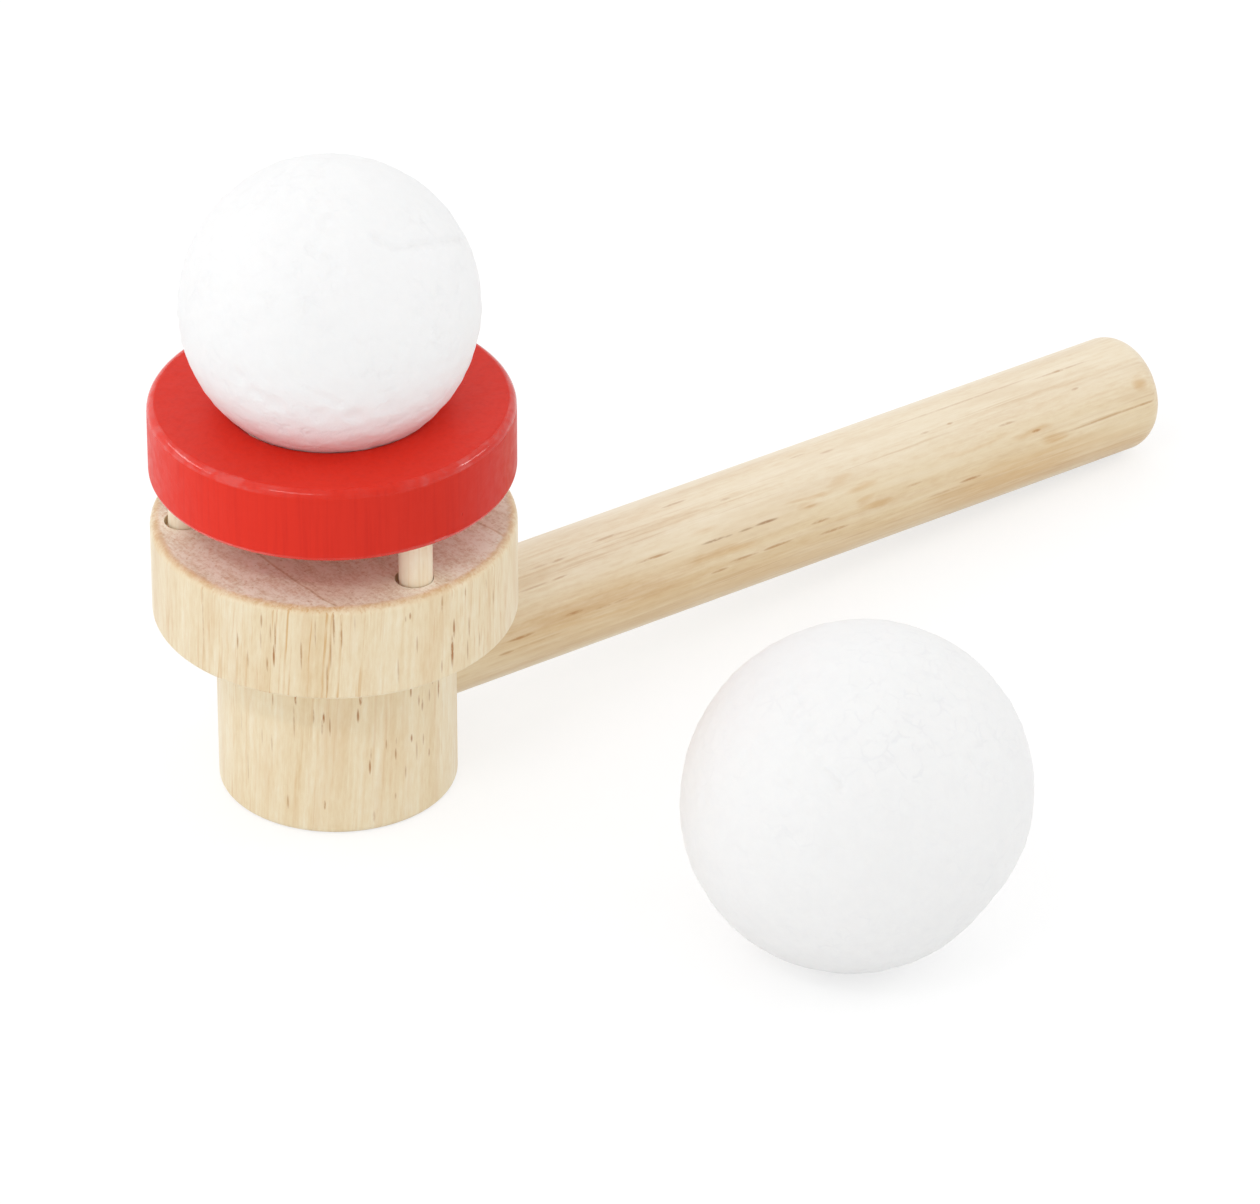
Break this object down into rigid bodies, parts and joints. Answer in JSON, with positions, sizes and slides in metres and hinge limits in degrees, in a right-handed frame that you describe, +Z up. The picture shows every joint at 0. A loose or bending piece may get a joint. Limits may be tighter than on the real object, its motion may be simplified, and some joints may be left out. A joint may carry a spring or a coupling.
{
  "type": "floating ball blow pipe toy",
  "caption": "Wooden blow pipe toy: a turned head with a painted ring on dowel pins, a straight pipe, a light foam ball resting in the ring and a loose spare ball.",
  "frame": {"origin": "centre of the head's flat foot, on the surface that the toy stands on", "axes": "+Z up along the head's axis, +X along the pipe towards its mouth end, +Y to the side away from the spare ball"},
  "size_m": [0.1545, 0.1143, 0.0857],
  "materials": {
    "head_wood": "matte",
    "pipe_wood": "matte",
    "ring_paint": "satin",
    "pin_wood": "matte",
    "ball_foam": "matte"
  },
  "bodies": {
    "toy": {"head": "head_wood", "pipe": "pipe_wood", "ring": "ring_paint", "pipe_pin": "pin_wood", "side_pin": "pin_wood", "front_pin": "pin_wood"},
    "floating_ball": {"ball": "ball_foam"},
    "loose_ball": {"spare_ball": "ball_foam"}
  },
  "joints": [
    {"name": "ball_float", "type": "slide", "parent": "toy", "child": "floating_ball", "axis": [0, 0, 1], "range_m": [0, 0.08]},
    {"name": "spare_ball_lift", "type": "slide", "parent": "toy", "child": "loose_ball", "axis": [0, 0, 1], "range_m": [0, 0.08]}
  ]
}
